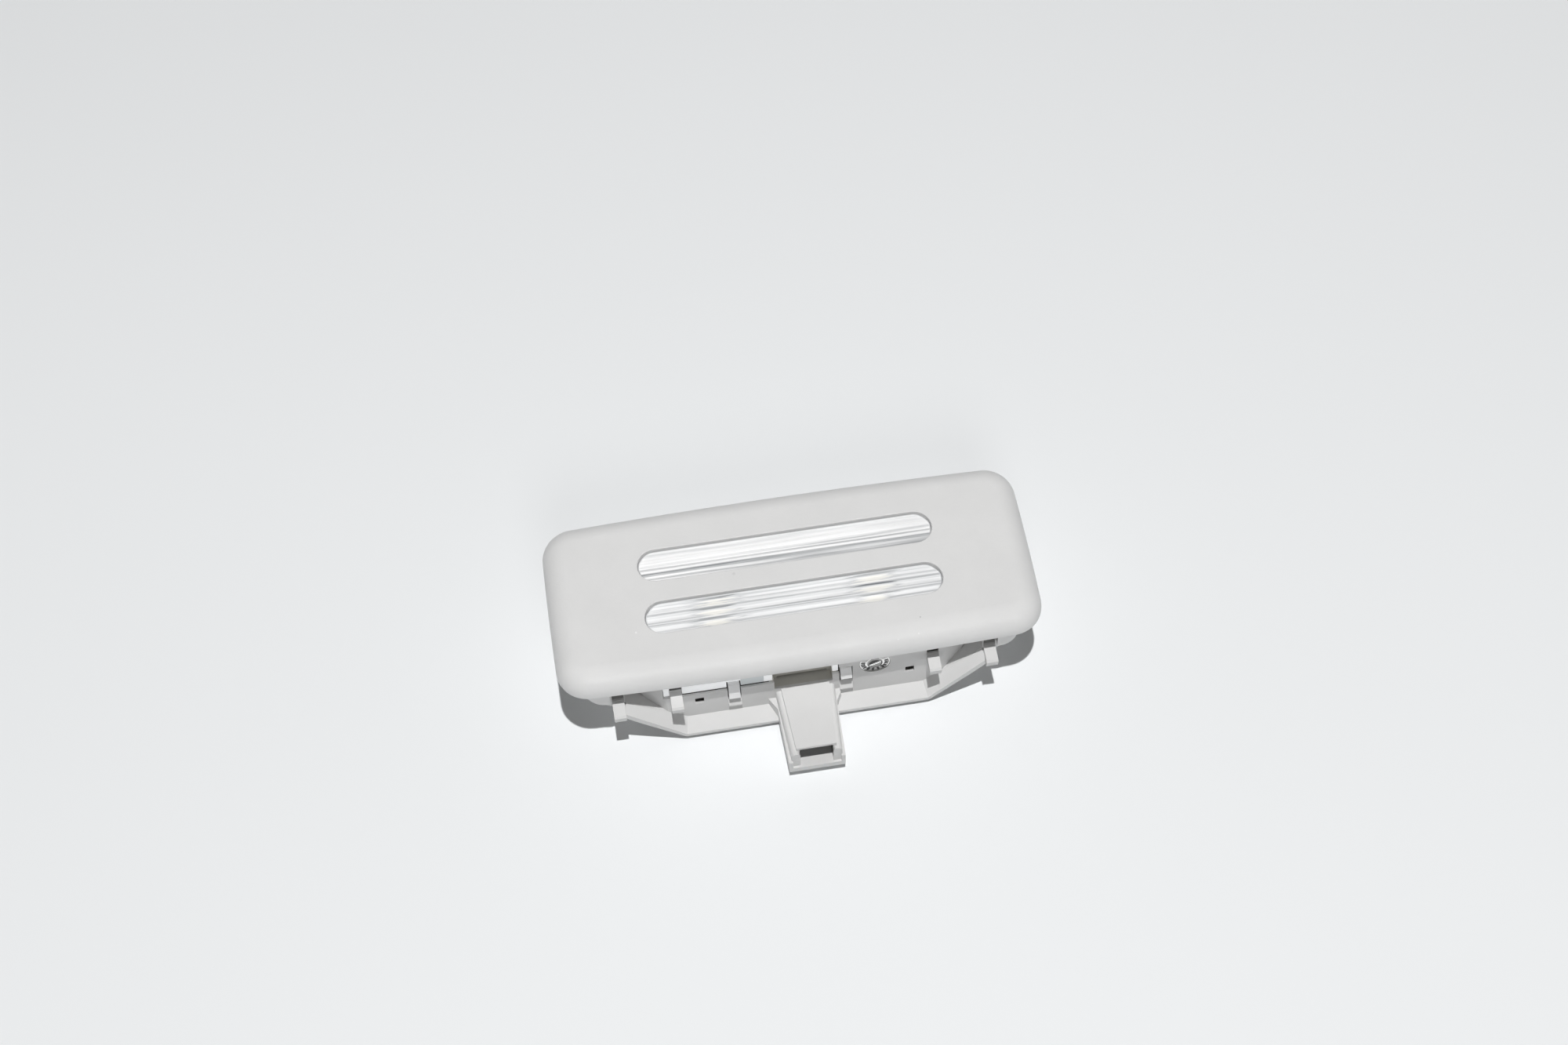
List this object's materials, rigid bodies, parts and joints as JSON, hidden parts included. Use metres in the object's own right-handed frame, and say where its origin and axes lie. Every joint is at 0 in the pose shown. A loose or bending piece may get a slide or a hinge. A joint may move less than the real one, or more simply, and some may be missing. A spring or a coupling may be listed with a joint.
{
  "type": "car interior light",
  "caption": "Car interior light with a soft-edged bezel, two long windows over diode lamps and a clip-in moulded housing with lugs and a connector shroud",
  "frame": {"origin": "on the flat back, under the middle of the two windows", "axes": "+X runs along the light, -Y is the side with the connector and lugs, +Z points out of the lit face"},
  "size_m": [0.098, 0.0556, 0.025],
  "materials": {
    "bezel": "fine satin grain",
    "lens": "clear, grooved",
    "housing": "satin",
    "reflector": "bright white",
    "board": "white solder mask",
    "lamp": "satin",
    "terminal": "tinned",
    "clip": "plain spring steel",
    "chip": "matt",
    "capacitor": "ceramic"
  },
  "bodies": {
    "root": {"bezel": "bezel", "lens": "lens", "housing": "housing", "reflector": "reflector", "circuit_board": "board", "led_left": "lamp", "led_right": "lamp", "terminal_left": "terminal", "terminal_right": "terminal", "spring_clip_left": "clip", "spring_clip_right": "clip", "resistor_1": "chip", "resistor_2": "chip", "resistor_3": "chip", "resistor_4": "chip", "protection_diode": "chip", "surge_diode": "chip", "capacitor_1": "capacitor", "capacitor_2": "capacitor", "driver_transistor": "chip"}
  },
  "joints": []
}
